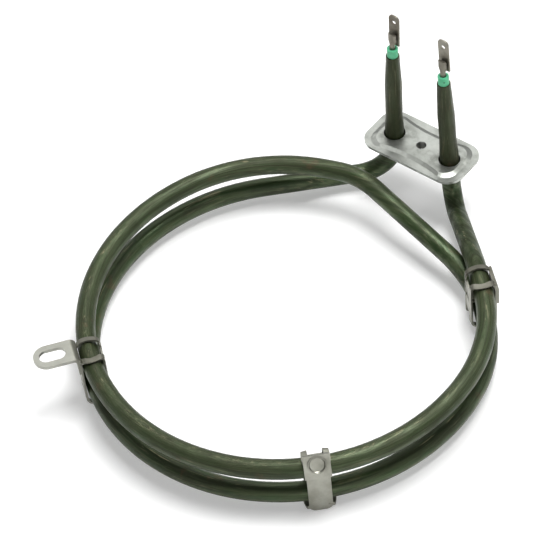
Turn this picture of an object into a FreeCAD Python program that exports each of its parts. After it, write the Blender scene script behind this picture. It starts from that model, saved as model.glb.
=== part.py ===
import FreeCAD, Part
import Sketcher

import math
import os

# Double ring heating element of a fan oven: one long tube bent into two turns, with two legs that
# pass up through a small flange. Origin: centre of the flange's screw hole, on the face that seats
# against the oven wall. +Z runs up along the legs, +X from the left leg to the right leg, and the
# ring lies on the -Y side, below the flange. All sizes in millimetres, angles in degrees.

doc = FreeCAD.newDocument("tubular_heating_element")
sheet = doc.addObject("Spreadsheet::Sheet", "Sizes")

SIZES = [
    # Tube and ring
    ("tube_diameter", 8.5, "outside of the metal sheath"),
    ("tube_wall", 0.7, "wall of the sheath"),
    ("coil_radius", 86.5, "centreline of both turns"),
    ("turn_pitch", 15.3, "height between the two turns"),
    ("flange_height", 23.2, "flange face above the lower turn's centreline"),
    ("ring_offset_x", 3.9, "ring axis beside the screw hole"),
    ("ring_offset_y", 103.9, "ring axis in front of the screw hole"),
    # Legs
    ("leg_spacing", 30.0, "between the two legs in the flange"),
    ("leg_offset", 0.3, "middle of the legs beside the screw hole"),
    ("left_lean", 1.4, "left leg leans towards the right one"),
    ("right_lean", 2.3, "right leg leans towards the left one"),
    ("left_bend_radius", 17.0, "centreline, left leg into the lower turn"),
    ("right_bend_radius", 10.0, "centreline, right leg into its rising run"),
    ("right_bend_drop", 3.6, "right bend's corner below the lower turn"),
    ("left_leg_length", 47.8, "flange face to the sheath's end"),
    ("right_leg_length", 45.6, "flange face to the sheath's end"),
    ("neck_height", 12.5, "where the swaged neck begins"),
    ("neck_diameter", 7.65, "swaged neck above the flange"),
    ("taper_length", 17.5, "of the end taper"),
    ("mouth_diameter", 6.0, "sheath at its end"),
    ("full_height", 4.0, "unswaged tube above the flange face"),
    # Route of the tube between the turns
    ("upper_join_angle", 7.0, "rising run meets the upper turn"),
    ("upper_join_length", 25.2, "tangent length of that bend"),
    ("climb_gap", 17.1, "level stretch between climb and bend"),
    ("climb_radius", 29.3, "bend at the top of the climb"),
    ("upper_leave_angle", 160.2, "upper turn flattens towards the crossing"),
    ("upper_leave_length", 35.0, "tangent length of that bend"),
    ("crossing_x", -20.8, "crossing run's corner, from the ring axis"),
    ("crossing_y", 79.7, "crossing run's corner, from the ring axis"),
    ("crossing_radius", 38.0, "bend at that corner"),
    ("lower_join_angle", 13.8, "crossing run meets the lower turn"),
    ("lower_join_length", 42.2, "tangent length of that bend"),
    # Inside of the tube
    ("fill_clearance", 0.1, "between sheath and filling"),
    ("coil_diameter", 3.2, "outside of the heating wire's winding"),
    ("pin_diameter", 2.4, "cold pin in the leg"),
    ("pin_depth", 3.0, "lower end of the pin below the flange face"),
    ("core_clearance", 0.05, "around wire and pin"),
    # Seals and terminals
    ("seal_height", 4.5, "seal standing out of the sheath"),
    ("seal_depth", 5.0, "seal inside the sheath"),
    ("seal_diameter", 4.9, "outside of the seal above the sheath"),
    ("seal_dish", 0.5, "hollow in the seal's top"),
    ("seal_chamfer", 0.3, "edges of the seal's top"),
    ("pin_rise", 8.0, "pin above the seal"),
    ("paddle_width", 4.2, "flattened end of the pin"),
    ("paddle_thickness", 1.4, "flattened end of the pin"),
    ("paddle_length", 3.8, "flattened end of the pin"),
    ("tab_gap", 0.6, "between paddle and tab, bridged by the weld"),
    ("weld_diameter", 1.8, "spot weld between paddle and tab"),
    ("tab_width", 5.3, "terminal tab"),
    ("tab_thickness", 0.8, "terminal tab"),
    ("tab_length", 16.7, "terminal tab"),
    ("left_tab_start", 0.9, "tab's foot above the seal"),
    ("right_tab_start", 2.0, "tab's foot above the seal"),
    ("tab_corner", 2.0, "rounding of the tab's top corners"),
    ("tab_hole_diameter", 2.0, "hole near the tab's top"),
    ("tab_hole_drop", 3.8, "hole below the tab's top"),
    # Flange
    ("flange_length", 51.8, "along X"),
    ("flange_width", 26.2, "along Y"),
    ("flange_corner", 8.0, "outline rounding"),
    ("flange_sheet", 1.3, "sheet thickness"),
    ("panel_rise", 0.7, "raised panel above the rim"),
    ("panel_slope", 2.0, "width of the panel's sloping edge"),
    ("panel_length", 45.8, "foot of the raised panel"),
    ("panel_width", 22.4, "foot of the panel at its ends"),
    ("panel_waist", 18.6, "foot of the panel at its middle"),
    ("panel_corner", 6.5, "rounding of the panel's corners"),
    ("screw_hole_diameter", 4.6, "hole in the middle"),
    ("screw_collar_depth", 4.6, "drawn collar around the hole"),
    ("collar_wall", 0.9, "wall of the drawn collars"),
    ("leg_hole_diameter", 9.8, "funnel around each leg at the face"),
    ("leg_collar_depth", 5.0, "drawn collar around each leg"),
    ("funnel_depth", 3.2, "where the funnel closes on the tube"),
    ("funnel_belly", 0.1, "hollow of the funnel's wall at half depth"),
    ("leg_clearance", 0.12, "between tube and collar"),
    # Clips
    ("clip_width", 11.0, "stainless strip of the front and right clips"),
    ("clip_wall_width", 9.8, "wall of those clips below their doubled plate"),
    ("bracket_width", 11.9, "stainless strip of the bracket clip"),
    ("bracket_wall_width", 11.9, "wall of that clip below its doubled part"),
    ("strip_thickness", 0.8, "stainless strip of the clips"),
    ("clip_clearance", 0.25, "between tube and strip"),
    ("clip_foot", 7.2, "lowest point below the lower tube's centreline"),
    ("clip_crest", 5.8, "top of the straps above the upper centreline"),
    ("wall_corner", 3.0, "rounding of the wall's lower corners"),
    ("strap_width", 2.4, "straps beside the window"),
    ("strap_flare", 9.0, "tilt of the straps, window side out"),
    ("strap_shoulder", 2.6, "middle of the strap in its bend at the wall's top"),
    ("strap_bend", 1.8, "middle of the strap in its other bends"),
    ("strap_hook", 1.2, "straight end of a strap on the wall"),
    ("strap_drop", 0.3, "strap falls towards the inner side"),
    ("front_clip_bow", 0.4, "straps bow sideways over the upper turn"),
    ("right_clip_bow", 1.3, "straps bow sideways over the upper turn"),
    ("bracket_clip_bow", 1.3, "straps bow sideways over the upper turn"),
    ("foot_bow", 1.3, "straps bow sideways under the lower turn"),
    ("front_clip_lap", 0.4,"foot of the outer layer below the upper centreline"),
    ("right_clip_lap", 7.6, "foot of the outer layer below the upper centreline"),
    ("bracket_clip_lap", 2.1, "foot of the outer layer below the upper centreline"),
    ("crease_rise", 1.3, "crease above the upper centreline"),
    ("crease_radius", 2.0, "middle of both layers in the crease"),
    ("front_clip_lean", 30.0, "plate leans in over the upper turn"),
    ("front_clip_plate", 8.6, "length of the plate above its crease"),
    ("right_clip_lean", 12.0, "plate leans in over the upper turn"),
    ("right_clip_plate", 3.0, "length of the plate above its crease"),
    ("tongue_width", 5.0, "tongue pressed between the turns"),
    ("tongue_knee", 0.8, "bends at the tongue's root"),
    ("tongue_reach", 3.0, "tongue's tip past the tube's centreline"),
    ("tongue_joint", 0.001, "straight left between the tongue's two bends"),
    ("crossbar_height", 2.4, "bars that join the straps"),
    ("front_clip_clinch", 4.3, "middle of the pressed joint above the crease"),
    ("right_clip_clinch", -4.5, "middle of the pressed joint above the crease"),
    ("clinch_diameter", 6.8, "pressed joint in the doubled plate"),
    ("clinch_depth", 0.45, "pressed joint"),
    ("clinch_ring", 8.4, "foot of the raised ring around the joint"),
    ("clinch_rise", 0.18, "raised ring above the plate"),
    ("front_clip_angle", -44.35, "place on the ring, from +X"),
    ("right_clip_angle", 43.0, "place on the ring, from +X"),
    ("bracket_clip_angle", -126.6, "place on the ring, from +X"),
    # Bracket tab
    ("bracket_tab_reach", 23.5, "tip of the tab beyond the ring's centreline"),
    ("bracket_fold_radius", 2.2, "middle of both layers in the fold"),
    ("slot_length", 11.4, "over its round ends"),
    ("slot_width", 6.3, "across"),
    ("slot_margin", 2.5, "from the slot to the tab's tip"),
]

for row, (alias, value, note) in enumerate(SIZES, start=1):
    sheet.set("A%d" % row, alias)
    sheet.set("B%d" % row, str(value))
    sheet.set("C%d" % row, note)
    sheet.setAlias("B%d" % row, alias)
doc.recompute()


def size(alias):
    return float(sheet.get(alias))


def vec(x, y, z):
    return FreeCAD.Vector(x, y, z)


def unit(v):
    return vec(v.x, v.y, v.z).normalize()


Z_AXIS = vec(0, 0, 1)
SHORTEST_EDGE = 0.0001
STRAP_STATIONS = 17
TUBE_RADIUS = size("tube_diameter") / 2
BORE_RADIUS = TUBE_RADIUS - size("tube_wall")
RING_AXIS = vec(size("ring_offset_x"), -size("ring_offset_y"), 0)
LOWER_LEVEL = -size("flange_height")
UPPER_LEVEL = LOWER_LEVEL + size("turn_pitch")
COIL_RADIUS = size("coil_radius")

# Each leg has its own place: foot in the flange plane, Z up along the leg.
LEGS = {}
for side, sign in (("left", 1), ("right", -1)):
    foot = vec(size("leg_offset") - sign * size("leg_spacing") / 2, 0, 0)
    lean = FreeCAD.Rotation(vec(0, 1, 0), sign * size(side + "_lean"))
    LEGS[side] = FreeCAD.Placement(foot, lean)


def add_shape(name, shape):
    """A feature of the document that holds a shape made from the sheet's sizes."""
    feature = doc.addObject("Part::Feature", name)
    feature.Shape = shape
    return feature


def fillet_points(before, corner, after, radius):
    """Start, middle and end of the arc that rounds a corner of a route."""
    back = unit(before - corner)
    ahead = unit(after - corner)
    half_turn = (math.pi - back.getAngle(ahead)) / 2
    length = radius * math.tan(half_turn)
    inward = unit(back + ahead)
    middle = corner + inward * (radius / math.cos(half_turn) - radius)
    return corner + back * length, middle, corner + ahead * length


def fillet_radius(before, corner, after, length):
    """Radius whose arc starts the given length before the corner."""
    half_turn = (math.pi - (before - corner).getAngle(after - corner)) / 2
    return length / math.tan(half_turn)


def rounded_route(corners, radii):
    """Straight runs joined by tangent arcs; radii has one value per inner corner."""
    edges = []
    here = corners[0]
    for before, corner, after, radius in zip(corners, corners[1:], corners[2:], radii):
        start, middle, end = fillet_points(before, corner, after, radius)
        if (start - here).Length > SHORTEST_EDGE:
            edges.append(Part.LineSegment(here, start).toShape())
        edges.append(Part.Arc(start, middle, end).toShape())
        here = end
    if (corners[-1] - here).Length > SHORTEST_EDGE:
        edges.append(Part.LineSegment(here, corners[-1]).toShape())
    return edges


def on_ring(angle, level):
    spin = math.radians(angle)
    return RING_AXIS + vec(COIL_RADIUS * math.cos(spin), COIL_RADIUS * math.sin(spin), level)


def along_ring(angle):
    """Direction in which the ring is left at an angle, towards larger angles."""
    spin = math.radians(angle)
    return vec(-math.sin(spin), math.cos(spin), 0)


def leg_point(side, height):
    return LEGS[side].multVec(vec(0, 0, height))


def leg_point_at_level(side, level):
    """The point of the leg's axis at a given height in the part's frame."""
    lean = math.radians(size(side + "_lean"))
    return leg_point(side, level / math.cos(lean))


def turn_edge(start_angle, end_angle, level):
    middle = (start_angle + end_angle) / 2
    arc = Part.Arc(on_ring(start_angle, level), on_ring(middle, level), on_ring(end_angle, level))
    return arc.toShape()


def element_route():
    """Centreline of the tube from the left leg to the right leg."""
    left_top = leg_point("left", -size("pin_depth"))
    left_corner = leg_point_at_level("left", LOWER_LEVEL)
    reach = left_corner - RING_AXIS
    distance = math.hypot(reach.x, reach.y)
    swing = math.degrees(math.acos(COIL_RADIUS / distance))
    leave_angle = math.degrees(math.atan2(reach.y, reach.x)) + swing
    lower_start = on_ring(leave_angle, LOWER_LEVEL)
    edges = rounded_route([left_top, left_corner, lower_start], [size("left_bend_radius")])

    # Lower turn, then up along the crossing run to the upper turn
    join = size("lower_join_angle")
    lower_end = on_ring(join, LOWER_LEVEL)
    lower_corner = lower_end + along_ring(join) * size("lower_join_length")
    edges.append(turn_edge(leave_angle, 360 + join, LOWER_LEVEL))
    crossing = RING_AXIS + vec(size("crossing_x"), size("crossing_y"), UPPER_LEVEL)
    leave = size("upper_leave_angle")
    upper_start = on_ring(leave, UPPER_LEVEL)
    upper_corner = upper_start - along_ring(leave) * size("upper_leave_length")
    lower_radius = fillet_radius(lower_end, lower_corner, crossing, size("lower_join_length"))
    upper_radius = fillet_radius(crossing, upper_corner, upper_start, size("upper_leave_length"))
    edges += rounded_route(
        [lower_end, lower_corner, crossing, upper_corner, upper_start],
        [lower_radius, size("crossing_radius"), upper_radius])

    # Upper turn, then down along the rising run's slope to the right leg
    meet = size("upper_join_angle")
    upper_end = on_ring(meet, UPPER_LEVEL)
    run_corner = upper_end + along_ring(meet) * size("upper_join_length")
    edges.append(turn_edge(leave, 360 + meet, UPPER_LEVEL))
    right_corner = leg_point_at_level("right", LOWER_LEVEL - size("right_bend_drop"))
    back = vec(right_corner.x - run_corner.x, right_corner.y - run_corner.y, 0).normalize()
    climb_top = run_corner + back * (size("upper_join_length") + size("climb_gap"))
    meet_radius = fillet_radius(upper_end, run_corner, climb_top, size("upper_join_length"))
    right_top = leg_point("right", -size("pin_depth"))
    edges += rounded_route(
        [upper_end, run_corner, climb_top, right_corner, right_top],
        [meet_radius, size("climb_radius"), size("right_bend_radius")])
    return Part.Wire(edges)


ROUTE = element_route()
route_feature = add_shape("element_route", ROUTE)


def swept_along_route(name, radius_rule):
    """A round bar along the whole route, its radius bound to the sheet."""
    section = doc.addObject("Part::Circle", name + "_section")
    section.setExpression("Radius", radius_rule)
    start = ROUTE.OrderedEdges[0]
    heading = start.tangentAt(start.FirstParameter)
    section.Placement = FreeCAD.Placement(ROUTE.OrderedVertexes[0].Point, FreeCAD.Rotation(Z_AXIS, heading))
    sweep = doc.addObject("Part::Sweep", name)
    sweep.Sections = [section]
    sweep.Spine = (route_feature, ["Edge%d" % (i + 1) for i in range(len(ROUTE.Edges))])
    sweep.Solid = True
    sweep.Frenet = False
    return sweep


def turned(outline):
    """A solid of revolution about Z from (radius, height) points."""
    points = [vec(radius, 0, height) for radius, height in outline]
    face = Part.Face(Part.makePolygon(points + points[:1]))
    return face.revolve(vec(0, 0, 0), Z_AXIS, 360)


def sheath_end(side):
    return size(side + "_leg_length")


def seal_foot(side):
    return sheath_end(side) - size("seal_depth")


def seal_top(side):
    return sheath_end(side) + size("seal_height")


def leg_profile(side, inset, top):
    """Radius and height up a leg's outside, moved inwards by an inset, as far as a height."""
    neck = size("neck_diameter") / 2 - inset
    profile = [
        (TUBE_RADIUS - inset, -size("pin_depth")),
        (TUBE_RADIUS - inset, size("full_height")),
        (neck, size("neck_height")),
        (neck, sheath_end(side) - size("taper_length")),
        (size("mouth_diameter") / 2 - inset, sheath_end(side)),
    ]
    below = [point for point in profile if point[1] < top]
    (low_radius, low), (high_radius, high) = below[-1], profile[len(below)]
    share = (top - low) / (high - low)
    return below + [(low_radius + (high_radius - low_radius) * share, top)]


def leg_end(side, outside, inside):
    """A hollow piece turned around one leg's axis."""
    piece = turned(outside + inside[::-1])
    piece.Placement = LEGS[side]
    return piece


def bent_tube(outside_radius, inside_radius):
    """A tube along the whole route, without the leg ends."""
    start = ROUTE.OrderedEdges[0]
    heading = start.tangentAt(start.FirstParameter)
    centre = ROUTE.OrderedVertexes[0].Point
    outside, inside = [Part.Face(Part.Wire([Part.Circle(centre, heading, radius).toShape()]))
                       for radius in (outside_radius, inside_radius)]
    return ROUTE.makePipe(outside.cut(inside).Faces[0])


WALL = size("tube_wall")


def jointed(name, bent, ends):
    """The bent tube and its two leg ends as one piece."""
    fuse = doc.addObject("Part::MultiFuse", name)
    fuse.Shapes = [add_shape(name + "_bent", bent)]
    fuse.Shapes += [add_shape("%s_%s_end" % (name, side), end) for side, end in zip(LEGS, ends)]
    return fuse


# Sheath: one tube, swaged at both ends
sheath_ends = []
for side in LEGS:
    skins = [leg_profile(side, inset, sheath_end(side)) for inset in (0, WALL)]
    sheath_ends.append(leg_end(side, *skins))
sheath = jointed("sheath_tube", bent_tube(TUBE_RADIUS, BORE_RADIUS), sheath_ends)

# Heating wire: its winding as one bar between the two pins
heating_coil = swept_along_route("heating_coil", "Sizes.coil_diameter / 2")

# Filling: pressed powder between the sheath and what it holds
fill_gap = size("fill_clearance")
coil_space = size("coil_diameter") / 2 + size("core_clearance")
pin_space = size("pin_diameter") / 2 + size("core_clearance")
fill_ends = []
for side in LEGS:
    pin_wall = [(pin_space, -size("pin_depth")), (pin_space, seal_foot(side))]
    fill_ends.append(leg_end(side, leg_profile(side, WALL + fill_gap, seal_foot(side)), pin_wall))
filling = jointed("magnesia_filling", bent_tube(BORE_RADIUS - fill_gap, coil_space), fill_ends)


def ellipse_wire(half_width, half_depth, height):
    """Flattened section of the pin; its width runs along X."""
    rim = Part.Ellipse(vec(half_width, 0, height), vec(0, half_depth, height), vec(0, 0, height))
    return Part.Wire([rim.toShape()])


PADDLE_HALF = size("paddle_thickness") / 2
TAB_FRONT = PADDLE_HALF + size("tab_gap")


def cold_pin(side):
    """Round rod whose end is flattened into a paddle, with the weld on its back."""
    radius = size("pin_diameter") / 2
    top = seal_top(side) + size("pin_rise")
    paddle_foot = top - size("paddle_length")
    shoulder = (seal_top(side) + paddle_foot) / 2
    rod = Part.makeCylinder(radius, shoulder + size("pin_depth"), vec(0, 0, -size("pin_depth")))
    half_width = size("paddle_width") / 2
    rim = Part.Wire([Part.Circle(vec(0, 0, shoulder), Z_AXIS, radius).toShape()])
    flare = Part.makeLoft([rim, ellipse_wire(half_width, PADDLE_HALF, paddle_foot)], True)
    paddle_section = Part.Face(ellipse_wire(half_width, PADDLE_HALF, paddle_foot))
    paddle = paddle_section.extrude(vec(0, 0, top - paddle_foot))
    weld_height = paddle_foot + size("paddle_length") / 2
    weld = Part.makeCylinder(size("weld_diameter") / 2, TAB_FRONT, vec(0, 0, weld_height), vec(0, 1, 0))
    return rod.fuse([flare, paddle, weld])


def end_seal(side):
    """Collar pressed into the sheath's mouth around the pin, slightly dished on top."""
    bore = size("pin_diameter") / 2 + size("core_clearance")
    mouth = size("mouth_diameter") / 2 - WALL - size("fill_clearance")
    rim = size("seal_diameter") / 2
    chamfer = size("seal_chamfer")
    foot = seal_foot(side)
    top = seal_top(side)
    ledge = sheath_end(side) + size("core_clearance")
    return turned([
        (bore, foot), (mouth, foot), (mouth, ledge), (rim, ledge), (rim, top - chamfer),
        (rim - chamfer, top), (bore + chamfer, top), (bore, top - size("seal_dish"))])


def bound_constraint(sketch, constraint, rule):
    """Adds a constraint to a sketch and ties its value to the sheet."""
    index = sketch.addConstraint(constraint)
    sketch.setExpression("Constraints[%d]" % index, rule)


def origin_plane(body, role):
    return [plane for plane in body.Origin.OriginFeatures if plane.Role == role][0]


def new_sketch(body, name, role):
    sketch = body.newObject("Sketcher::SketchObject", name)
    sketch.AttachmentSupport = [(origin_plane(body, role), "")]
    sketch.MapMode = "FlatFace"
    return sketch


def terminal_tab(side):
    """Flat blade with a rounded top and a small hole, standing behind the pin's paddle."""
    body = doc.addObject("PartDesign::Body", "terminal_tab_" + side)
    outline = new_sketch(body, "tab_outline_" + side, "XZ_Plane")
    half = size("tab_width") / 2
    foot = seal_top(side) + size(side + "_tab_start")
    top = foot + size("tab_length")
    foot_rule = "Sizes.%s_leg_length + Sizes.seal_height + Sizes.%s_tab_start" % (side, side)
    corners = [vec(-half, foot, 0), vec(half, foot, 0), vec(half, top, 0), vec(-half, top, 0)]
    for start, end in zip(corners, corners[1:] + corners[:1]):
        outline.addGeometry(Part.LineSegment(start, end), False)
    for line in range(4):
        outline.addConstraint(Sketcher.Constraint("Coincident", line, 2, (line + 1) % 4, 1))
    for line, kind in ((1, "Vertical"), (2, "Horizontal"), (3, "Vertical")):
        outline.addConstraint(Sketcher.Constraint(kind, line))
    outline.addConstraint(Sketcher.Constraint("Symmetric", 0, 1, 0, 2, -2))
    bound_constraint(outline, Sketcher.Constraint("DistanceX", 0, 1, 0, 2, 2 * half), "Sizes.tab_width")
    bound_constraint(outline, Sketcher.Constraint("DistanceY", 1, 1, 1, 2, top - foot), "Sizes.tab_length")
    bound_constraint(outline, Sketcher.Constraint("DistanceY", -1, 1, 0, 1, foot), foot_rule)
    blade = body.newObject("PartDesign::Pad", "tab_blade_" + side)
    blade.Profile = outline
    blade.setExpression("Length", "Sizes.tab_thickness")
    blade.Reversed = True
    doc.recompute()
    top_corners = []
    for number, edge in enumerate(blade.Shape.Edges, start=1):
        ends = [vertex.Point for vertex in edge.Vertexes]
        across = abs(ends[0].y - ends[1].y) > size("tab_thickness") / 2
        if across and min(point.z for point in ends) > top - size("tab_corner"):
            top_corners.append("Edge%d" % number)
    rounding = body.newObject("PartDesign::Fillet", "tab_rounding_" + side)
    rounding.Base = (blade, top_corners)
    rounding.setExpression("Radius", "Sizes.tab_corner")
    hole_sketch = new_sketch(body, "tab_hole_outline_" + side, "XZ_Plane")
    hole_height = top - size("tab_hole_drop")
    hole_circle = Part.Circle(vec(0, hole_height, 0), vec(0, 0, 1), size("tab_hole_diameter") / 2)
    hole_sketch.addGeometry(hole_circle, False)
    hole_sketch.addConstraint(Sketcher.Constraint("PointOnObject", 0, 3, -2))
    bound_constraint(hole_sketch, Sketcher.Constraint("Diameter", 0, size("tab_hole_diameter")),
                     "Sizes.tab_hole_diameter")
    bound_constraint(hole_sketch, Sketcher.Constraint("DistanceY", -1, 1, 0, 3, hole_height),
                     foot_rule + " + Sizes.tab_length - Sizes.tab_hole_drop")
    hole = body.newObject("PartDesign::Pocket", "tab_hole_" + side)
    hole.Profile = hole_sketch
    hole.Type = "ThroughAll"
    hole.Midplane = True
    shift = FreeCAD.Placement(vec(0, TAB_FRONT, 0), FreeCAD.Rotation())
    body.Placement = LEGS[side].multiply(shift)
    return body


pins = []
seals = []
tabs = []
for side in LEGS:
    pins.append(add_shape("cold_pin_" + side, cold_pin(side)))
    seals.append(add_shape("end_seal_" + side, end_seal(side)))
    pins[-1].Placement = LEGS[side]
    seals[-1].Placement = LEGS[side]
    tabs.append(terminal_tab(side))


def rounded_outline(half_length, half_width, waist, corner, height):
    """Rounded rectangle about the Z axis whose long sides curve in to a waist."""
    quarter = math.sqrt(0.5)
    edges = []
    corners = []
    for x_sign, y_sign in ((1, 1), (-1, 1), (-1, -1), (1, -1)):
        centre = vec(x_sign * (half_length - corner), y_sign * (half_width - corner), height)
        along = centre + vec(0, y_sign * corner, 0)
        beside = centre + vec(x_sign * corner, 0, 0)
        middle = centre + vec(x_sign, y_sign, 0) * (corner * quarter)
        corners.append((along, middle, beside))
    for index, (along, middle, beside) in enumerate(corners):
        first, last = (beside, along) if index % 2 == 0 else (along, beside)
        edges.append(Part.Arc(first, middle, last).toShape())
        following = corners[(index + 1) % 4]
        start = last
        end = following[0] if index % 2 == 0 else following[2]
        if index % 2 == 0 and waist < half_width:
            y_sign = 1 if start.y > 0 else -1
            edges.append(Part.Arc(start, vec(0, y_sign * waist, height), end).toShape())
        else:
            edges.append(Part.LineSegment(start, end).toShape())
    return Part.Wire(edges)


def panel_solid(depth):
    """Raised panel from its foot up to its face; set deeper it makes the hollow below."""
    slope = size("panel_slope")
    length = size("panel_length") / 2
    width = size("panel_width") / 2
    waist = size("panel_waist") / 2
    corner = size("panel_corner")
    foot = rounded_outline(length, width, waist, corner, -size("panel_rise") - depth)
    face = rounded_outline(length - slope, width - slope, waist - slope, corner - slope / 2, -depth)
    return Part.makeLoft([foot, face], True, True)


def funnel_space(side):
    """Opening around a leg: a funnel at the face that closes on the tube."""
    mouth = size("leg_hole_diameter") / 2
    grip = TUBE_RADIUS + size("leg_clearance")
    depth = size("funnel_depth")
    over = size("flange_sheet")
    through = -2 * size("leg_collar_depth")
    belly = (mouth + grip) / 2 - size("funnel_belly")
    space = turned([(0, over), (mouth + (mouth - grip) / 2, over), (mouth, 0), (belly, -depth / 2),
                    (grip, -depth), (grip, through), (0, through)])
    space.Placement = LEGS[side]
    return space


def leg_collar(side):
    """Drawn collar around a leg, below the face."""
    mouth = size("leg_hole_diameter") / 2 + size("collar_wall")
    grip = TUBE_RADIUS + size("leg_clearance") + size("collar_wall")
    depth = size("leg_collar_depth")
    sheet_depth = size("flange_sheet")
    collar = turned([(0, -sheet_depth / 2), (mouth, -sheet_depth / 2), (mouth, -sheet_depth),
                     (grip, -size("funnel_depth")), (grip, -depth), (0, -depth)])
    collar.Placement = LEGS[side]
    return collar


def flange_plate():
    sheet_depth = size("flange_sheet")
    rise = size("panel_rise")
    length = size("flange_length") / 2
    width = size("flange_width") / 2
    rim = Part.Face(rounded_outline(length, width, width, size("flange_corner"), -rise - sheet_depth))
    plate = rim.extrude(vec(0, 0, sheet_depth))
    plate = plate.fuse(panel_solid(0))
    plate = plate.cut(panel_solid(sheet_depth))
    screw_radius = size("screw_hole_diameter") / 2
    screw_collar = Part.makeCylinder(screw_radius + size("collar_wall"), size("screw_collar_depth"),
                                     vec(0, 0, -size("screw_collar_depth")))
    plate = plate.fuse([screw_collar] + [leg_collar(side) for side in LEGS])
    drill_depth = 2 * size("screw_collar_depth")
    screw_space = Part.makeCylinder(screw_radius, drill_depth + rise, vec(0, 0, -drill_depth))
    return plate.cut([screw_space] + [funnel_space(side) for side in LEGS]).removeSplitter()


flange = add_shape("flange_plate", flange_plate())


def clip_place(angle, turn):
    """Clip's own frame: X outwards, Y along the ring, Z up, origin on the lower turn."""
    centre = RING_AXIS + vec(0, 0, LOWER_LEVEL)
    on_coil = FreeCAD.Placement(centre, FreeCAD.Rotation(Z_AXIS, angle))
    shift = FreeCAD.Placement(vec(COIL_RADIUS, 0, 0), FreeCAD.Rotation(Z_AXIS, turn))
    return on_coil.multiply(shift)


def tube_places(place, width):
    """Upper and lower tube centres at both edges and the middle of a clip, in its frame."""
    reach = 2 * size("tube_diameter")
    low = LOWER_LEVEL
    high = 2 * size("flange_height")
    route = ROUTE.copy()
    route.Placement = place.inverse()
    upper = []
    lower = []
    for along in (-width / 2, 0, width / 2):
        corners = [vec(-reach, along, low), vec(reach, along, low),
                   vec(reach, along, high), vec(-reach, along, high)]
        cutter = Part.Face(Part.makePolygon(corners + corners[:1]))
        crossings = [vertex.Point for vertex in route.section(cutter).Vertexes]
        found = sorted(crossings, key=lambda point: point.z)
        lower.append(found[0])
        upper.append(found[-1])
    return upper, lower


def clip_heading(angle, width):
    """Turn of a clip that sets it square to the two tubes it holds."""
    slopes = [(line[-1].x - line[0].x) / width for line in tube_places(clip_place(angle, 0), width)]
    return -math.degrees(math.atan(sum(slopes) / len(slopes)))


SHEET_HALF = size("strip_thickness") / 2
STRAP_WIDTH = size("strap_width")
STRAP_FLARE = math.radians(size("strap_flare"))
STRAP_HALF_RISE = STRAP_WIDTH / 2 * math.sin(STRAP_FLARE) + SHEET_HALF * math.cos(STRAP_FLARE)


def sheet_run(corners, radii, shift=0):
    """Middle line of a strip through (outward, up) corners; shift moves it along the ring."""
    return rounded_route([vec(out, shift, up) for out, up in corners], radii)


def strip_section(middle, heading, width, tilt):
    """Rectangle across a strip; its width lies along the ring before the tilt."""
    along = vec(0, 1, 0)
    twist = FreeCAD.Rotation(heading, tilt)
    across = twist.multVec(unit(along - heading * heading.dot(along)))
    half_width = across * (width / 2)
    half_sheet = heading.cross(across) * SHEET_HALF
    return Part.makePolygon([middle - half_width - half_sheet, middle + half_width - half_sheet,
                             middle + half_width + half_sheet, middle - half_width + half_sheet,
                             middle - half_width - half_sheet])


def strip(edges, width):
    """Sheet strip along its middle line."""
    start = edges[0].FirstParameter
    section = strip_section(edges[0].valueAt(start), edges[0].tangentAt(start), width, 0)
    return Part.Wire(edges).makePipeShell([section], True, False)


def bowed(edges, bow):
    """Points along a run that bows sideways between its ends."""
    points = Part.Wire(edges).discretize(Number=STRAP_STATIONS)
    last = len(points) - 1
    return [point + vec(0, bow * math.sin(math.pi * index / last) ** 2, 0)
            for index, point in enumerate(points)]


def strap(corners, bow, side, width):
    """Strap over the upper turn, down the inner side, under the lower turn and up the wall."""
    bend = size("strap_bend")
    shift = side * (width - STRAP_WIDTH) / 2
    run = sheet_run(corners, [size("strap_shoulder"), bend, bend, bend], shift)
    start, top, under, hook = run[0], run[1:4], run[5:8], run[8]
    points = [start.valueAt(start.FirstParameter)] + bowed(top, side * bow)
    points += bowed(under, side * size("foot_bow")) + [hook.valueAt(hook.LastParameter)]
    sections = []
    for before, point, after in zip(points[:1] + points, points, points[1:] + points[-1:]):
        sections.append(strip_section(point, unit(after - before), STRAP_WIDTH, side * size("strap_flare")))
    return Part.makeLoft(sections, True, True)


def outer_wall(wall_out, foot, top, width):
    """Upright plate on the ring's outer side, its lower corners rounded."""
    low = foot - SHEET_HALF
    wall = Part.makeBox(2 * SHEET_HALF, width, top - low, vec(wall_out - SHEET_HALF, -width / 2, low))
    low_edges = [edge for edge in wall.Edges
                 if edge.BoundBox.ZMax < foot and edge.BoundBox.YLength < SHEET_HALF]
    return wall.makeFillet(size("wall_corner"), low_edges)


class LappedEnd:
    """The strip's two ends lie on each other and turn away from the wall together."""

    def __init__(self, wall_out, lap_foot, turn_up, lean, length, radius, width):
        angle = math.radians(lean)
        self.ahead = vec(-math.sin(angle), 0, math.cos(angle))
        self.facing = vec(math.cos(angle), 0, math.sin(angle))
        self.corner = vec(wall_out, 0, turn_up)
        lap = (vec(1, 0, 0) + self.facing) * (2 * SHEET_HALF / (1 + self.facing.x))
        self.layers = []
        for offset, side in ((vec(0, 0, 0), -1), (lap, 1)):
            corner = self.corner + offset
            end = self.corner + self.ahead * length + self.facing * (SHEET_HALF * (1 + side))
            run = sheet_run([(corner.x, lap_foot), (corner.x, corner.z), (end.x, end.z)],
                            [radius + side * math.copysign(SHEET_HALF, lean)])
            self.layers.append(strip(run, width))

    def outside(self, distance):
        """A point of the outer face above the crease, or below it on the wall, and its facing."""
        ahead, facing = (self.ahead, self.facing) if distance > 0 else (Z_AXIS, vec(1, 0, 0))
        return self.corner + ahead * distance + facing * (3 * SHEET_HALF), facing


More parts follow.
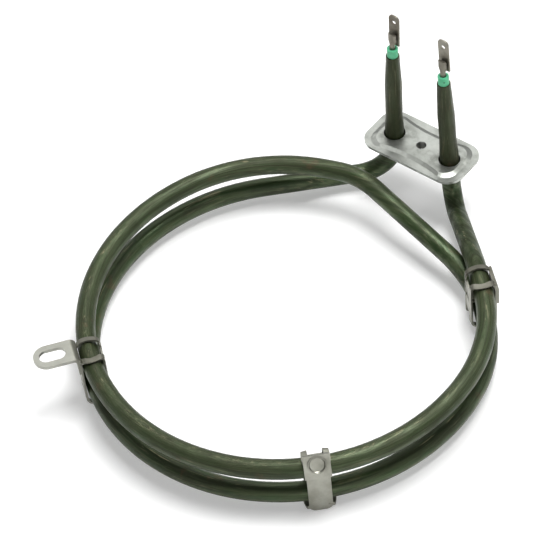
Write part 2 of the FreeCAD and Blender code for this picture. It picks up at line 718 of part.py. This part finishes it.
def clinched(plate, distance):
    """Round joint pressed into the doubled sheet, with a raised ring around it."""
    middle, facing = plate.outside(distance)
    place = FreeCAD.Placement(middle, FreeCAD.Rotation(Z_AXIS, facing))
    ring = size("clinch_ring") / 2
    rise = size("clinch_rise")
    dent = size("clinch_diameter") / 2
    depth = size("clinch_depth")
    crown = turned([(0, -depth), (ring, -depth), (ring, 0), ((ring + dent) / 2, rise), (0, rise)])
    hollow = turned([(0, -depth), (dent - depth, -depth), (dent, rise), (0, rise)])
    crown.Placement = place
    hollow.Placement = place
    inner, outer = plate.layers
    return [inner, outer.fuse(crown).cut(hollow)]


def slotted_tab(tab, width):
    """The folded tab with a round tip and a slot."""
    end = size("bracket_tab_reach")
    slot_half = size("slot_width") / 2
    last = end - size("slot_margin") - slot_half
    first = last - size("slot_length") + 2 * slot_half
    deep = 8 * SHEET_HALF
    low = size("flange_height") - deep / 2
    slot = Part.makeBox(last - first, 2 * slot_half, deep, vec(first, -slot_half, low))
    for centre in (first, last):
        slot = slot.fuse(Part.makeCylinder(slot_half, deep, vec(centre, 0, low)))
    tip = Part.makeBox(width, width, deep, vec(end - width / 2, -width / 2, low))
    tip = tip.cut(Part.makeCylinder(width / 2, deep, vec(end - width / 2, 0, low)))
    return [layer.cut([slot, tip]) for layer in tab.layers]


def tongue(inner_out, upper, lower):
    """Tongue pressed in between the turns; it hangs on both bars."""
    reach = TUBE_RADIUS + size("clip_clearance") + SHEET_HALF
    high = min(point.z for point in upper) - reach
    low = max(point.z for point in lower) + reach
    tip = max(upper[1].x, lower[1].x) + size("tongue_reach")
    hairpin = (high - low) / 2 - size("tongue_joint")
    knee = size("tongue_knee")
    corners = [(inner_out, upper[1].z), (inner_out, high), (tip, high), (tip, low), (inner_out, low),
               (inner_out, lower[1].z)]
    return strip(sheet_run(corners, [knee, hairpin, hairpin, knee]), size("tongue_width"))


def clip_shape(name, place, width, wall_width):
    """One clip around both turns, in its own frame."""
    upper, lower = tube_places(place, width)
    both = upper + lower
    reach = TUBE_RADIUS + size("clip_clearance")
    wall_out = max(point.x for point in both) + reach + SHEET_HALF
    inner_out = min(point.x for point in both) - reach - STRAP_HALF_RISE
    foot = lower[1].z - size("clip_foot") + STRAP_HALF_RISE
    top = upper[1].z + size("clip_crest") - STRAP_HALF_RISE
    lap_foot = upper[1].z - size(name + "_lap")
    pieces = [outer_wall(wall_out, foot, lap_foot + SHEET_HALF, wall_width)]

    if name == "bracket_clip":
        level = size("flange_height") - SHEET_HALF
        tab = LappedEnd(wall_out, lap_foot, level, -90, size("bracket_tab_reach") - wall_out,
                        size("bracket_fold_radius"), width)
        pieces += slotted_tab(tab, width)
        start = vec(wall_out, 0, top - size("strap_shoulder") - size("strap_hook"))
        shoulder = vec(wall_out, 0, top)
    else:
        plate = LappedEnd(wall_out, lap_foot, upper[1].z + size("crease_rise"), size(name + "_lean"),
                          size(name + "_plate"), size("crease_radius"), width)
        pieces += clinched(plate, size(name + "_clinch"))
        start = plate.corner
        shoulder = start + plate.ahead * ((top - start.z) / plate.ahead.z)

    hook_end = (wall_out, foot + size("strap_bend") + size("strap_hook"))
    corners = [(start.x, start.z), (shoulder.x, shoulder.z), (inner_out, top - size("strap_drop")),
               (inner_out, foot), (wall_out, foot), hook_end]
    pieces += [strap(corners, size(name + "_bow"), side, width) for side in (1, -1)]

    # Bars join the straps on the inner side
    bar = size("crossbar_height") / 2
    for level in (upper[1].z, lower[1].z):
        run = sheet_run([(inner_out, level - bar), (inner_out, level + bar)], [])
        pieces.append(strip(run, width - STRAP_WIDTH))
    pieces.append(tongue(inner_out, upper, lower))
    return pieces[0].fuse(pieces[1:])


STOCK = {"front_clip": "clip", "right_clip": "clip", "bracket_clip": "bracket"}
clips = []
for name, stock in STOCK.items():
    angle = size(name + "_angle")
    width = size(stock + "_width")
    place = clip_place(angle, clip_heading(angle, width))
    shape = clip_shape(name, place, width, size(stock + "_wall_width"))
    clips.append(add_shape(name, shape))
    clips[-1].Placement = place

doc.recompute()

NODES = [sheath, filling, heating_coil, flange] + pins + seals + tabs + clips
for item in doc.Objects:
    if "Invalid" in item.State or "Error" in item.State:
        raise RuntimeError("%s failed: %s" % (item.Label, item.State))
for node in NODES:
    if node.Shape.isNull() or not node.Shape.isValid():
        raise RuntimeError("%s has no valid shape" % node.Label)

section_area = math.pi * (size("coil_diameter") / 2) ** 2
print("route length %.1f mm" % ROUTE.Length)
print("heating wire's volume over section times length: %.5f"
      % (heating_coil.Shape.Volume / (section_area * ROUTE.Length)))

os.makedirs("parts", exist_ok=True)
for node in NODES:
    node.Shape.exportStep("parts/%s.step" % node.Label)
    box = node.Shape.BoundBox
    print("%-20s solids %d volume %9.1f  z %.2f to %.2f"
          % (node.Label, len(node.Shape.Solids), node.Shape.Volume, box.ZMin, box.ZMax))
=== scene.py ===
# %% [markdown]
# # Double ring heating element
# The part is one metal tube bent into two turns, with two legs that rise through a small pressed
# flange and three strip clips that hold the turns apart. Its shape comes ready made from the packed
# model, with its raised and pressed forms. What is left to do here is the camera, the light and the
# finishes that make dark oxidised steel look different from bright strip.

import math

import bpy
from mathutils import Matrix, Vector


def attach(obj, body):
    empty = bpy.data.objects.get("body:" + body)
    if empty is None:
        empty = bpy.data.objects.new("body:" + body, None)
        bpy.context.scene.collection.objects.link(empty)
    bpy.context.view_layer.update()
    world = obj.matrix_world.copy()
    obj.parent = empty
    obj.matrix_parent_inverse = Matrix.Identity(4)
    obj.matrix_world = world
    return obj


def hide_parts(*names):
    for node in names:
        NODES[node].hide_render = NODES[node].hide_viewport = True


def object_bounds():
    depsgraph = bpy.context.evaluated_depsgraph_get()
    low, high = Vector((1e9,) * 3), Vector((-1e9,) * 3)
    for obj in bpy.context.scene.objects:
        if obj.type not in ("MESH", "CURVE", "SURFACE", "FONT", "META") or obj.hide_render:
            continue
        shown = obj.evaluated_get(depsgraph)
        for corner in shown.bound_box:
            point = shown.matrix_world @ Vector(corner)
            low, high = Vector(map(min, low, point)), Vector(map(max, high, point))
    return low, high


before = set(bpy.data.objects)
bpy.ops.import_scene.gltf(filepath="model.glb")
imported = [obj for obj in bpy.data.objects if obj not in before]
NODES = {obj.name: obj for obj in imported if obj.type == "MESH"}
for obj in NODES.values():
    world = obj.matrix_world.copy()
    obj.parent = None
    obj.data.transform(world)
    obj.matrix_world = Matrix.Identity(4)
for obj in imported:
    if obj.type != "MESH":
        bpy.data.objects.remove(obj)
model_low, model_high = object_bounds()
print("model box", [round(v, 4) for v in model_low], [round(v, 4) for v in model_high])


# %% [markdown]
# ## Camera
# The element lies on its clips, with its legs up. A camera is matched to such a view from things
# whose shape is known: both turns are circles of one radius, one above the other, and the legs stand
# upright. That gives a viewing direction, a distance and a focal length, which are written here once
# and turned into a camera. The distance and the sideways slide are counted in ring radii.

# %% A camera fitted to the two turns
RING_RADIUS = 0.0865
RING_CENTRE = Vector((0.0039, -0.1039, -0.01555))
FRAME_PIXELS = 550
FOCAL_PIXELS = 2421.6
SENSOR_WIDTH = 36
TILT = math.radians(48.213)
ROLL = math.radians(-6.460)
AROUND = 0.7463
DISTANCE = 12.001
SLIDE = (-0.0417, 0.2206)

ahead = Vector((0, math.cos(TILT), -math.sin(TILT)))
level_right = Vector((1, 0, 0))
level_up = level_right.cross(ahead)
right = level_right * math.cos(ROLL) + level_up * math.sin(ROLL)
up = level_up * math.cos(ROLL) - level_right * math.sin(ROLL)
place = level_right * SLIDE[0] + level_up * SLIDE[1] - ahead * DISTANCE
around = Matrix.Rotation(AROUND, 3, "Z")
turn = Matrix((around @ right, around @ up, around @ -ahead)).transposed()

camera_data = bpy.data.cameras.new("camera")
camera_data.sensor_width = SENSOR_WIDTH
camera_data.lens = FOCAL_PIXELS / FRAME_PIXELS * SENSOR_WIDTH
camera_data.clip_start = 0.05
camera_data.clip_end = 20
camera = bpy.data.objects.new("camera", camera_data)
bpy.context.scene.collection.objects.link(camera)
stand = RING_CENTRE + around @ place * RING_RADIUS
camera.matrix_world = Matrix.Translation(stand) @ turn.to_4x4()
bpy.context.scene.camera = camera
bpy.context.scene.view_settings.view_transform = "Standard"
print("camera at", [round(v, 3) for v in camera.location], "lens", round(camera_data.lens, 1))


# %% [markdown]
# ## Writing shader maths as Python
# Every finish below is built from nodes. Wiring maths nodes by hand is slow to read, so a small
# class wraps a socket and lets ordinary operators add the nodes: `mask * 0.4 + 0.2` becomes two
# Math nodes. Anything that isn't plain arithmetic comes from one method, `node`.

# %% A socket that understands + - * and a finish that makes nodes
class Wire:
    """A socket whose arithmetic adds Math nodes."""

    def __init__(self, finish, socket):
        self.finish = finish
        self.socket = socket

    def maths(self, operation, other, swapped=False):
        first, second = (other, self) if swapped else (self, other)
        return self.finish.node("ShaderNodeMath", {"operation": operation}, {0: first, 1: second})

    def __add__(self, other):
        return self.maths("ADD", other)

    __radd__ = __add__

    def __sub__(self, other):
        return self.maths("SUBTRACT", other)

    def __rsub__(self, other):
        return self.maths("SUBTRACT", other, swapped=True)

    def __mul__(self, other):
        return self.maths("MULTIPLY", other)

    __rmul__ = __mul__

    def blend(self, low, high):
        """low where this value is 0, high where it is 1."""
        return low + self * (high - low)

    def between(self, low, high):
        """0 below low, 1 above high, and a smooth rise between them."""
        settings = {"interpolation_type": "SMOOTHSTEP"}
        inputs = {"Value": self, "From Min": low, "From Max": high}
        return self.finish.node("ShaderNodeMapRange", settings, inputs)


LEG_START = (-0.006, 0.0)


class Finish:
    """One material, with a Principled shader that the rest feeds."""

    def __init__(self, name):
        self.material = bpy.data.materials.new(name)
        self.material.use_nodes = True
        self.tree = self.material.node_tree
        self.shader = self.tree.nodes["Principled BSDF"]
        self.place = self.node("ShaderNodeTexCoord", {}, {}, "Object")

    def node(self, kind, settings, inputs, output=0):
        made = self.tree.nodes.new(kind)
        for name, value in settings.items():
            setattr(made, name, value)
        for name, value in inputs.items():
            self.join(made.inputs[name], value)
        return Wire(self, made.outputs[output])

    def join(self, socket, value):
        if isinstance(value, Wire):
            self.tree.links.new(value.socket, socket)
        elif socket.type == "RGBA" and len(value) == 3:
            socket.default_value = (*value, 1)
        else:
            socket.default_value = value

    def noise(self, scale, detail, roughness=0.5, at=None):
        inputs = {"Vector": at or self.place, "Scale": scale, "Detail": detail, "Roughness": roughness}
        return self.node("ShaderNodeTexNoise", {}, inputs, "Fac")

    def stretched(self, amounts):
        return self.node("ShaderNodeMapping", {}, {"Vector": self.place, "Scale": amounts})

    def split(self, vector):
        """The x, y and z of a vector."""
        return [self.node("ShaderNodeSeparateXYZ", {}, {"Vector": vector}, axis) for axis in "XYZ"]

    def joined(self, x, y, z):
        return self.node("ShaderNodeCombineXYZ", {}, {"X": x, "Y": y, "Z": z})

    def away_from(self, x, y, z=None):
        """Distance from a point, or from an upright line where no height is given."""
        here = self.split(self.place)
        steps = [here[0] - x, here[1] - y]
        if z is not None:
            steps.append(here[2] - z)
        squares = [step * step for step in steps]
        return sum(squares[1:], squares[0]).maths("POWER", 0.5)

    def along_tube(self, squeeze):
        """Coordinates squeezed along the ring, and along the legs above it, so marks draw out there."""
        x, y, z = self.split(self.place)
        x = x - RING_CENTRE.x
        y = y - RING_CENTRE.y
        angle = y.maths("ARCTAN2", x)
        radius = (x * x + y * y).maths("POWER", 0.5)
        leg = z.between(*LEG_START)
        return self.joined(leg.blend(angle * (RING_RADIUS * squeeze), x), leg.blend(radius, y),
                           leg.blend(z, z * squeeze))

    def mix(self, amount, low, high):
        """A colour from low to high."""
        made = self.tree.nodes.new("ShaderNodeMix")
        made.data_type = "RGBA"
        self.join(made.inputs["Factor"], amount)
        self.join(made.inputs[6], low)
        self.join(made.inputs[7], high)
        return Wire(self, made.outputs[2])

    def surface(self, **inputs):
        for name, value in inputs.items():
            self.join(self.shader.inputs[name.replace("_", " ")], value)

    def bumps(self, *heights):
        """Relief from (height, size in metres) pairs, one Bump node after another."""
        normal = None
        for height, depth in heights:
            inputs = {"Height": height, "Distance": depth, "Strength": 1.0}
            if normal:
                inputs["Normal"] = normal
            normal = self.node("ShaderNodeBump", {}, inputs, "Normal")
        self.surface(Normal=normal)


def shade(value):
    """A colour written as 0 to 255 steps of the screen, as the shader wants it."""
    steps = [channel / 255 for channel in value]
    return tuple(((step + 0.055) / 1.055) ** 2.4 if step > 0.04 else step / 12.92 for step in steps)


def coat(node, finish):
    """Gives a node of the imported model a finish."""
    NODES[node].data.materials.clear()
    NODES[node].data.materials.append(finish.material)


# %% [markdown]
# ## Oxidised sheath
# The tube is steel that has been annealed until it turned a dark olive green. The colour isn't even:
# it drifts over some centimetres, is browner on the legs, is drawn out in fine streaks along the
# tube, and is scuffed paler in broken lines. Along its crest these pale lines are made strongest, as a
# painted highlight where the light runs along the top of the tube. Noise in several sizes, each with
# its own job, is easier to steer than one busy texture.

# %% Sheath finish
BROWNER_FROM = (-0.012, 0.004)
HIGHLIGHT_CREST_INSIDE = (0.0842, 0.0858)
HIGHLIGHT_CREST_OUTSIDE = (0.0868, 0.0884)


def sheath_finish():
    finish = Finish("oxidised_sheath")
    drift = finish.noise(16, 3).between(0.35, 0.65)
    mottle = finish.noise(130, 5, 0.6).between(0.3, 0.7)
    grain = finish.noise(1500, 3, 0.6)
    streaks = finish.noise(620, 4, 0.65, at=finish.along_tube(0.05)).between(0.42, 0.62)
    bands = finish.noise(240, 3, 0.6, at=finish.along_tube(0.1)).between(0.4, 0.66)
    leg = finish.split(finish.place)[2].between(*BROWNER_FROM)
    green = finish.mix(drift, shade((42, 61, 30)), shade((54, 75, 41)))
    body = finish.mix(mottle * 0.4, green, shade((52, 54, 32)))
    body = finish.mix(streaks * 0.55, body, shade((88, 98, 69)))
    body = finish.mix(bands * 0.62, body, shade((36, 38, 22)))
    body = finish.mix(leg * 0.55, body, shade((51, 53, 29)))
    rust = finish.noise(75, 4, 0.7).between(0.6, 0.72)
    body = finish.mix(rust * 0.4, body, shade((84, 62, 42)))
    radius = finish.away_from(RING_CENTRE.x, RING_CENTRE.y)
    # Painted highlight: the pale scuff lines are faint all over and reach full strength in a band along
    # the top of the ring's tube, where the light runs along it.
    highlight_crest = radius.between(*HIGHLIGHT_CREST_INSIDE) * (1.0 - radius.between(*HIGHLIGHT_CREST_OUTSIDE))
    scuffs_and_highlight = finish.noise(900, 4, 0.7, at=finish.along_tube(0.06)).between(0.54, 0.66)
    scuffs_and_highlight = scuffs_and_highlight * finish.noise(55, 3).between(0.4, 0.56) * highlight_crest.blend(0.3, 1.0)
    body = finish.mix(scuffs_and_highlight * 0.6, body, shade((156, 150, 118)))
    finish.surface(Base_Color=body, Metallic=0.45,
                   Roughness=0.27 + mottle * 0.16 + bands * 0.2 + grain * 0.06)
    finish.bumps((grain, 0.000012), (streaks, 0.00002), (mottle, 0.00006))
    return finish


coat("sheath_tube", sheath_finish())


# %% [markdown]
# ## Softened edges
# Sheet that was punched and pressed has no sharp edges: each one catches a thin line of light. The
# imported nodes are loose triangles, which a bevel can't follow, so each sheet piece is worked on a
# copy: its triangles are merged, flat areas become single faces again, and the bevel follows the
# edges that are left. Normals are weighted by area, so flat sheet still looks flat.
#
# The bevel is clamped, because without that it folded through itself on the clips and the flange.
# Clamping fits a bevel to the tightest place of its mesh and keeps that width all over it. The
# blades have no tight place and get the whole width that is asked for. The clips and the flange have
# edges as short as 0.002 and 0.02 mm. Only 0.001 to 0.008 mm of their bevel is left, too little to be
# seen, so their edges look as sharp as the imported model's.

# %% A copy of a node with bevelled edges
CLIPS = ("front_clip", "right_clip", "bracket_clip")
SIDES = ("left", "right")
SHEET_BEVEL = 0.00012
FLANGE_BEVEL = 0.00022
MERGE_DISTANCE = 0.0000002
FLAT_ANGLE = math.radians(0.6)
SMOOTH_ANGLE = math.radians(48)


def softened(node, name, width, least_angle):
    """A copy of a node with a bevel of at most this width; it stands for the node in the picture."""
    bpy.ops.object.select_all(action="DESELECT")
    source = NODES[node]
    source.select_set(True)
    bpy.context.view_layer.objects.active = source
    bpy.ops.object.duplicate()
    piece = bpy.context.object
    piece.name = name
    bpy.ops.object.mode_set(mode="EDIT")
    bpy.ops.mesh.select_all(action="SELECT")
    bpy.ops.mesh.remove_doubles(threshold=MERGE_DISTANCE)
    bpy.ops.mesh.dissolve_limited(angle_limit=FLAT_ANGLE)
    bpy.ops.object.mode_set(mode="OBJECT")
    bevel = piece.modifiers.new("edges", "BEVEL")
    bevel.width = width
    bevel.segments = 2
    bevel.limit_method = "ANGLE"
    bevel.angle_limit = math.radians(least_angle)
    bpy.ops.object.modifier_apply(modifier="edges")
    bpy.ops.object.shade_smooth_by_angle(angle=SMOOTH_ANGLE)
    flat = piece.modifiers.new("flat", "WEIGHTED_NORMAL")
    flat.mode = "FACE_AREA"
    flat.weight = 100
    flat.keep_sharp = True
    bpy.ops.object.modifier_apply(modifier="flat")
    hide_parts(node)
    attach(piece, "root")
    print(name, "faces", len(piece.data.polygons))
    return piece


SOFT = {}
for clip in CLIPS:
    SOFT[clip] = softened(clip, clip + "_strip", SHEET_BEVEL, 20)
SOFT["flange_plate"] = softened("flange_plate", "pressed_flange", FLANGE_BEVEL, 15)
for side in SIDES:
    blade = "terminal_tab_" + side
    SOFT[blade] = softened(blade, "blade_" + side, SHEET_BEVEL, 25)


def coat_piece(piece, finish):
    """Gives a piece made here a finish."""
    piece.data.materials.clear()
    piece.data.materials.append(finish.material)


# %% [markdown]
# ## Bright strip, flange and terminals
# The clips are cold rolled stainless strip: a neutral light grey with faint lines and small dents.
# Their strap tops over the tube and the rims of their pressed joints are painted darker as painted
# shade, and the tab of the bracket clip is painted lighter as a painted highlight.
# The flange is the same sort of steel, pressed, so it is smoother and shows soft waves; around the
# legs it is painted darker in patches, a painted reflection of the dark legs. The terminals are duller
# and browner from resistance welding.

# %% Strip, flange, pin and tab finishes
def metal_finish(name, light, dark, roughness, line_scale, stain=0.3, stain_colour=(112, 100, 78)):
    finish = Finish(name)
    clouds = finish.noise(70, 4, 0.6).between(0.3, 0.7)
    fine = finish.noise(900, 3, 0.6)
    lines = finish.noise(line_scale, 3, 0.6, at=finish.stretched((1.0, 1.0, 9.0)))
    spots = finish.noise(350, 4, 0.7).between(0.62, 0.72)
    body = finish.mix(clouds, shade(light), shade(dark))
    body = finish.mix(spots * stain, body, shade(stain_colour))
    finish.polish = roughness + clouds * 0.1 + lines * 0.1
    finish.surface(Base_Color=body, Metallic=0.92, Roughness=finish.polish)
    finish.bumps((lines, 0.000015), (fine, 0.000006), (clouds, 0.00007))
    return finish, body


terminal_finish = metal_finish("welded_terminal", (150, 147, 136), (108, 102, 90), 0.34, 600, 0.5)[0]
PRESSED_JOINTS = ((0.0685, -0.1670, -0.0023), (0.0716, -0.0407, -0.0111))
OVER_TUBE = (-0.0046, -0.0034)
STRAP_SHADE_END = (0.0895, 0.0906)
FRONT_PLATE_EDGE = (0.012, 0.015)
BRACKET_TAB_START = (0.0925, 0.0945)
RIM_INSIDE = (0.0028, 0.0033)
RIM_OUTSIDE = (0.0035, 0.004)


def clip_finish():
    """Rolled strip with painted shade over the tube and in the joint rims, and a painted highlight on
    the tab.
    """
    finish, body = metal_finish("rolled_strip", (158, 158, 148), (129, 129, 118), 0.3, 500)
    over_tube = finish.split(finish.place)[2].between(*OVER_TUBE)
    radius = finish.away_from(RING_CENTRE.x, RING_CENTRE.y)
    off_plate = finish.away_from(*PRESSED_JOINTS[0][:2]).between(*FRONT_PLATE_EDGE)
    painted_shade_on_strap_tops = over_tube * (1.0 - radius.between(*STRAP_SHADE_END)) * off_plate
    # Painted shade: the strap tops over the tube are darkened in place of the dark reflection they
    # show. The same mask also makes them rougher.
    body = finish.mix(painted_shade_on_strap_tops * 0.6, body, shade((84, 82, 72)))
    # Painted highlight: the bracket tab beyond the ring faces up and is made lighter in place of the
    # light it reflects.
    body = finish.mix(radius.between(*BRACKET_TAB_START) * 0.35, body, shade((196, 197, 190)))
    # Painted shade: a dark ring is laid in the rim of each pressed joint, where shade falls in the
    # recess.
    for centre in PRESSED_JOINTS:
        away = finish.away_from(*centre)
        rim_painted_shade = away.between(*RIM_INSIDE) * (1.0 - away.between(*RIM_OUTSIDE))
        body = finish.mix(rim_painted_shade * 0.3, body, shade((72, 71, 62)))
    finish.surface(Base_Color=body, Roughness=finish.polish + painted_shade_on_strap_tops * 0.25)
    return finish


LEG_PLACES = (-0.0147, 0.0153)
LEG_REFLECTION_REACH = (0.0055, 0.0105)
BORE_WALL = (0.00235, 0.0027)
BORE_DEPTH = (-0.0012, -0.0002)


def flange_finish():
    """Pressed sheet with a painted reflection of the legs around them and painted shade in the bore."""
    finish, body = metal_finish("pressed_flange", (184, 187, 181), (150, 153, 147), 0.24, 260, 0.2)
    height = finish.split(finish.place)[2]
    # Painted reflection: the sheet is darkened in patches around each leg, where the dark legs are
    # mirrored in it.
    near_legs = [1.0 - finish.away_from(leg, 0.0).between(*LEG_REFLECTION_REACH) for leg in LEG_PLACES]
    leg_painted_reflection = (near_legs[0] + near_legs[1]) * finish.noise(260, 4, 0.65).between(0.32, 0.66)
    body = finish.mix(leg_painted_reflection * 0.55, body, shade((86, 88, 80)))
    marks = finish.noise(150, 5, 0.7).between(0.5, 0.68)
    body = finish.mix(marks * 0.4, body, shade((112, 114, 108)))
    # Painted shade: the wall of the centre bore, below the top face, is painted dark in place of the
    # shade inside the hole.
    bore_painted_shade = 1.0 - finish.away_from(0.0, 0.0).between(*BORE_WALL)
    bore_painted_shade = bore_painted_shade * (1.0 - height.between(*BORE_DEPTH))
    body = finish.mix(bore_painted_shade * 0.8, body, shade((48, 48, 42)))
    finish.surface(Base_Color=body)
    return finish


strip_finish = clip_finish()
for clip in CLIPS:
    coat_piece(SOFT[clip], strip_finish)
    coat(clip, strip_finish)
plate_finish = flange_finish()
coat_piece(SOFT["flange_plate"], plate_finish)
coat("flange_plate", plate_finish)
for side in SIDES:
    coat_piece(SOFT["terminal_tab_" + side], terminal_finish)
    coat("terminal_tab_" + side, terminal_finish)
    coat("cold_pin_" + side, terminal_finish)


# %% [markdown]
# ## Green seals and the filling
# Each leg is closed by a mint green collar with a soft satin surface. Both get the same recipe. It
# has one dark speck, at a place that lies on the right collar. The powder and the wire inside can't
# be seen, and get plain matching finishes.

# %% Seal, filling and wire finishes
SPECK_PLACE = (0.01505, -0.0018, 0.0479)
SPECK_EDGE = (0.0002, 0.0007)


def seal_finish():
    finish = Finish("green_seal")
    clouds = finish.noise(220, 3).between(0.3, 0.7)
    fine = finish.noise(1600, 3, 0.6)
    body = finish.mix(clouds, shade((84, 196, 144)), shade((110, 210, 162)))
    near_speck = 1.0 - finish.away_from(*SPECK_PLACE).between(*SPECK_EDGE)
    speck = near_speck * finish.noise(1500, 4, 0.7).between(0.35, 0.55)
    body = finish.mix(speck * 0.8, body, shade((40, 62, 48)))
    finish.surface(Base_Color=body, Roughness=0.42 + clouds * 0.12, Metallic=0.0)
    finish.bumps((fine, 0.00001), (clouds, 0.00004))
    return finish


def powder_finish():
    finish = Finish("pressed_powder")
    clouds = finish.noise(300, 4).between(0.3, 0.7)
    finish.surface(Base_Color=finish.mix(clouds, shade((225, 222, 212)), shade((206, 202, 190))),
                   Roughness=0.9, Metallic=0.0)
    finish.bumps((clouds, 0.00005))
    return finish


for side in SIDES:
    coat("end_seal_" + side, seal_finish())
coat("magnesia_filling", powder_finish())
coat("heating_coil", terminal_finish)


# %% [markdown]
# ## Floor and light
# The element lies on a plain white sheet in soft light. The sheet is shown brighter to the camera
# than it lights the object, so it reads as white while the shadow under the turns stays.

# %% Floor
FLOOR_SIZE = 2
FLOOR_HEIGHT = model_low.z - 0.0001
FLOOR_GLOW = 0.26

bpy.ops.object.select_all(action="DESELECT")
floor_centre = (RING_CENTRE.x, RING_CENTRE.y, FLOOR_HEIGHT)
bpy.ops.mesh.primitive_plane_add(size=FLOOR_SIZE, location=floor_centre)
floor = bpy.context.object
floor.name = "floor"
paper = bpy.data.materials.new("white_paper")
paper.use_nodes = True
nodes, links = paper.node_tree.nodes, paper.node_tree.links
paper_shader = nodes["Principled BSDF"]
paper_shader.inputs["Base Color"].default_value = (0.8, 0.8, 0.8, 1)
paper_shader.inputs["Roughness"].default_value = 0.9
paper_shader.inputs["Specular IOR Level"].default_value = 0.1
seen = nodes.new("ShaderNodeLightPath")
glow = nodes.new("ShaderNodeEmission")
glow.inputs["Color"].default_value = (1, 1, 1, 1)
sight = nodes.new("ShaderNodeMath")
sight.operation = "MAXIMUM"
links.new(seen.outputs["Is Camera Ray"], sight.inputs[0])
links.new(seen.outputs["Is Glossy Ray"], sight.inputs[1])
brighter = nodes.new("ShaderNodeMath")
brighter.operation = "MULTIPLY"
brighter.inputs[1].default_value = FLOOR_GLOW
links.new(sight.outputs[0], brighter.inputs[0])
links.new(brighter.outputs[0], glow.inputs["Strength"])
both = nodes.new("ShaderNodeAddShader")
links.new(paper_shader.outputs[0], both.inputs[0])
links.new(glow.outputs[0], both.inputs[1])
links.new(both.outputs[0], nodes["Material Output"].inputs["Surface"])
floor.data.materials.append(paper)

# %% World and lamps
SKY_ON_OBJECT = 0.24
SKY_SEEN = 1.0

world = bpy.data.worlds.new("studio")
bpy.context.scene.world = world
world.use_nodes = True
sky = world.node_tree.nodes["Background"]
sky.inputs["Color"].default_value = (1, 1, 1, 1)
paths = world.node_tree.nodes.new("ShaderNodeLightPath")
reach = world.node_tree.nodes.new("ShaderNodeMapRange")
reach.inputs["To Min"].default_value = SKY_ON_OBJECT
reach.inputs["To Max"].default_value = SKY_SEEN
world.node_tree.links.new(paths.outputs["Is Camera Ray"], reach.inputs["Value"])
world.node_tree.links.new(reach.outputs[0], sky.inputs["Strength"])


def softbox(name, offset, width, power):
    """A square lamp beside the ring that faces its centre."""
    lamp = bpy.data.lights.new(name, "AREA")
    lamp.shape = "SQUARE"
    lamp.size = width
    lamp.energy = power
    lit = bpy.data.objects.new(name, lamp)
    bpy.context.scene.collection.objects.link(lit)
    lit.location = RING_CENTRE + Vector(offset)
    lit.rotation_mode = "QUATERNION"
    lit.rotation_quaternion = Vector(offset).to_track_quat("Z", "Y")


softbox("key", (0.05, 0.3, 1.2), 0.6, 16)
softbox("back", (-0.75, 0.85, 1.0), 1.1, 3.8)
softbox("front_fill", (0.86, -0.76, 0.38), 0.7, 2.4)
softbox("left_fill", (-1.0, -0.5, 0.7), 0.8, 0.9)
softbox("right_edge", (0.8, 0.8, 0.6), 0.5, 1)
